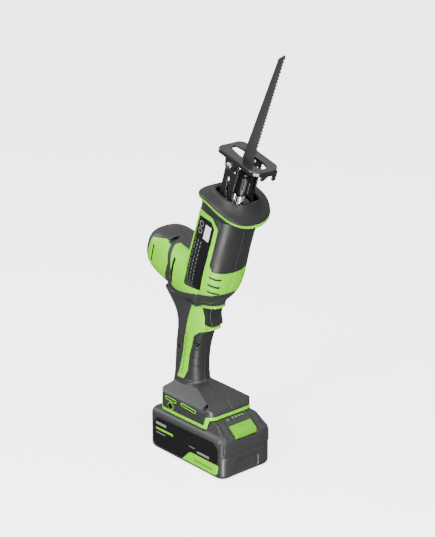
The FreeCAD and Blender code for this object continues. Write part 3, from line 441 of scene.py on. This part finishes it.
def battery_details(skins, side):
    """Plain printed bars on the pack's side panel, and a raised one on its badge patch."""
    name = SIDES[side]
    target = tree_of(skins["battery_side_panels"])
    for k, (start, end, height, width, look) in enumerate(PACK_BARS):
        band(f"{name}_pack_bar_{k}", target, [(start, height), (end, height)], width, side, look,
             "battery", "label_plastic", **PRINT)
    badge = tree_of(skins["battery_badges"])
    band(f"{name}_badge_bar", badge, BADGE_BAR, BADGE_BAR_WIDTH, side, EMBOSS, "battery",
         "green_plastic", lift=0.05, thickness=0.15)


def top_band(name, target, path, width, look, body, closed=False):
    """Thin band laid from above over a target, along a plan path."""
    step, lift, thickness = 0.8, 0.05, 0.08
    down = Vector((0, 0, -1))
    grid = []
    for row in ribbon_points(path, width, closed, step):
        points = [cast(target, Vector((a, b, RAY_TOP)) * MM, down, lift * MM) for a, b in row]
        if None not in points:
            grid.append(points)
    if len(grid) >= 2:
        add_piece(name, sheet_mesh(name, grid, thickness), look, body)


def gauge_details(skins):
    """Charge gauge: a ring on its button and four lamp windows."""
    strip = tree_of(skins["gauge_strip"])
    for k in range(GAUGE_LAMPS):
        path = [(x, LAMP_Y + LAMP_STEP * k) for x in LAMP_ENDS]
        top_band(f"gauge_lamp_{k}", strip, path, LAMP_WIDTH, PRINT_GREY, "battery")
    button = tree_of(skins["gauge_button"])
    top_band("gauge_button_mark", button, circle(*GAUGE_MARK, 20), GAUGE_MARK_WIDTH, PRINT_GREY,
             "gauge", True)


def pack_front_details(skins):
    """Shallow mould lines on the battery's nose, beside its release button, drawn as strips of
    painted shade.
    """
    target = tree_of(skins["battery_upper_case"])
    for side, name in SIDES.items():
        for label, (distance, stations) in NOSE_LINES.items():
            path = [(x, side * distance) for x in stations]
            top_band(f"{name}_{label}", target, path, NOSE_LINE_WIDTH, PAINTED_GROOVE_SHADE, "battery")


def build_details(skins):
    pack_front_details(skins)
    for side in SIDES:
        foot_details(skins, side)
        stripe_details(skins, side)
        grip_details(skins, side)
        label_details(skins, side)
        battery_details(skins, side)
    gauge_details(skins)


def paint_frame():
    """Gives every CAD node its slot's material, for the ones that no skin replaces."""
    for name, node in nodes.items():
        node.data.materials.clear()
        node.data.materials.append(MATERIALS[slot_of[name]])


# ---- studio: lengths in metres ------------------------------------------------------------
FLOOR_RADIUS = 9.0
FLOOR_CORNERS = 64
FLOOR_GLOW = 3.0
SKY_STRENGTH = 0.8
# Lamps: name, place, what it points at, size, power in watts.
LAMPS = [
    ("key", (0.25, -1.5, 0.9), (0, 0, 0.24), (0.5, 1.0), 26),
    ("front_strip", (1.5, -0.35, 0.75), (0.02, 0, 0.25), (0.12, 1.2), 14),
    ("top_soft", (0.3, -0.2, 1.6), (0, 0, 0.2), (0.8, 0.8), 16),
    ("low_front", (0.33, -0.22, 0.03), (0.03, 0, 0.27), (0.07, 0.4), 4),
    ("back_rim", (-1.1, -0.5, 0.8), (0, 0, 0.25), (0.25, 1.0), 8),
]
# Camera: how far it is turned from the tool's right side towards the front, how far it is
# raised, and its distance from the point that it looks at.
AZIMUTH, ELEVATION = math.radians(48.70), math.radians(19.58)
DISTANCE = 1.749
LOOK_AT = Vector((0.01386, 0, 0.2287))
LENS, SENSOR = 107.3, 36


def add_floor():
    """White floor that glows evenly; its brightness isn't thrown back at the tool."""
    mesh = bpy.data.meshes.new("studio_floor")
    rim = [(a, b, 0) for a, b in circle(0, 0, FLOOR_RADIUS, FLOOR_CORNERS)]
    mesh.from_pydata(rim, [], [list(range(FLOOR_CORNERS))])
    floor = bpy.data.objects.new("studio_floor", mesh)
    scene.collection.objects.link(floor)
    paper = surface("studio_paper", (0.88, 0.88, 0.88), 0.9, spread=0.01, depth=0.00001)
    shader = next(node for node in paper.node_tree.nodes if node.type == "BSDF_PRINCIPLED")
    shader.inputs["Emission Color"].default_value = (1, 1, 1, 1)
    shader.inputs["Emission Strength"].default_value = FLOOR_GLOW
    mesh.materials.append(paper)
    floor.visible_diffuse = False
    floor.visible_glossy = False


def add_area(name, place, target, size, power):
    lamp = bpy.data.lights.new(name, "AREA")
    lamp.shape = "RECTANGLE"
    lamp.size, lamp.size_y = size
    lamp.energy = power
    holder = bpy.data.objects.new(name, lamp)
    holder.location = place
    holder.rotation_euler = (Vector(target) - Vector(place)).to_track_quat("-Z", "Y").to_euler()
    holder.visible_camera = False
    scene.collection.objects.link(holder)


def add_sky():
    """Soft light from all round, weaker from below."""
    world = bpy.data.worlds.new("studio")
    scene.world = world
    world.use_nodes = True
    tree = world.node_tree
    direction = tree.nodes.new("ShaderNodeTexCoord")
    split = tree.nodes.new("ShaderNodeSeparateXYZ")
    tree.links.new(direction.outputs["Generated"], split.inputs["Vector"])
    shade = ramp(tree, split.outputs["Z"], 0.0, 0.6, (0.30, 0.30, 0.30), (0.95, 0.95, 0.95))
    tree.links.new(shade.outputs["Color"], tree.nodes["Background"].inputs["Color"])
    tree.nodes["Background"].inputs["Strength"].default_value = SKY_STRENGTH


def add_studio():
    add_floor()
    add_sky()
    for name, place, target, size, power in LAMPS:
        add_area(name, place, target, size, power)


def add_camera():
    """Camera to the tool's front right, a little above it."""
    back = Vector((math.sin(AZIMUTH) * math.cos(ELEVATION),
                   -math.cos(AZIMUTH) * math.cos(ELEVATION), math.sin(ELEVATION)))
    lens = bpy.data.cameras.new("camera")
    lens.lens = LENS
    lens.sensor_width = SENSOR
    camera = bpy.data.objects.new("camera", lens)
    camera.location = LOOK_AT + back * DISTANCE
    camera.rotation_euler = (-back).to_track_quat("-Z", "Y").to_euler()
    scene.collection.objects.link(camera)
    scene.camera = camera


paint_frame()
build_details(build_skins())
add_studio()
add_camera()
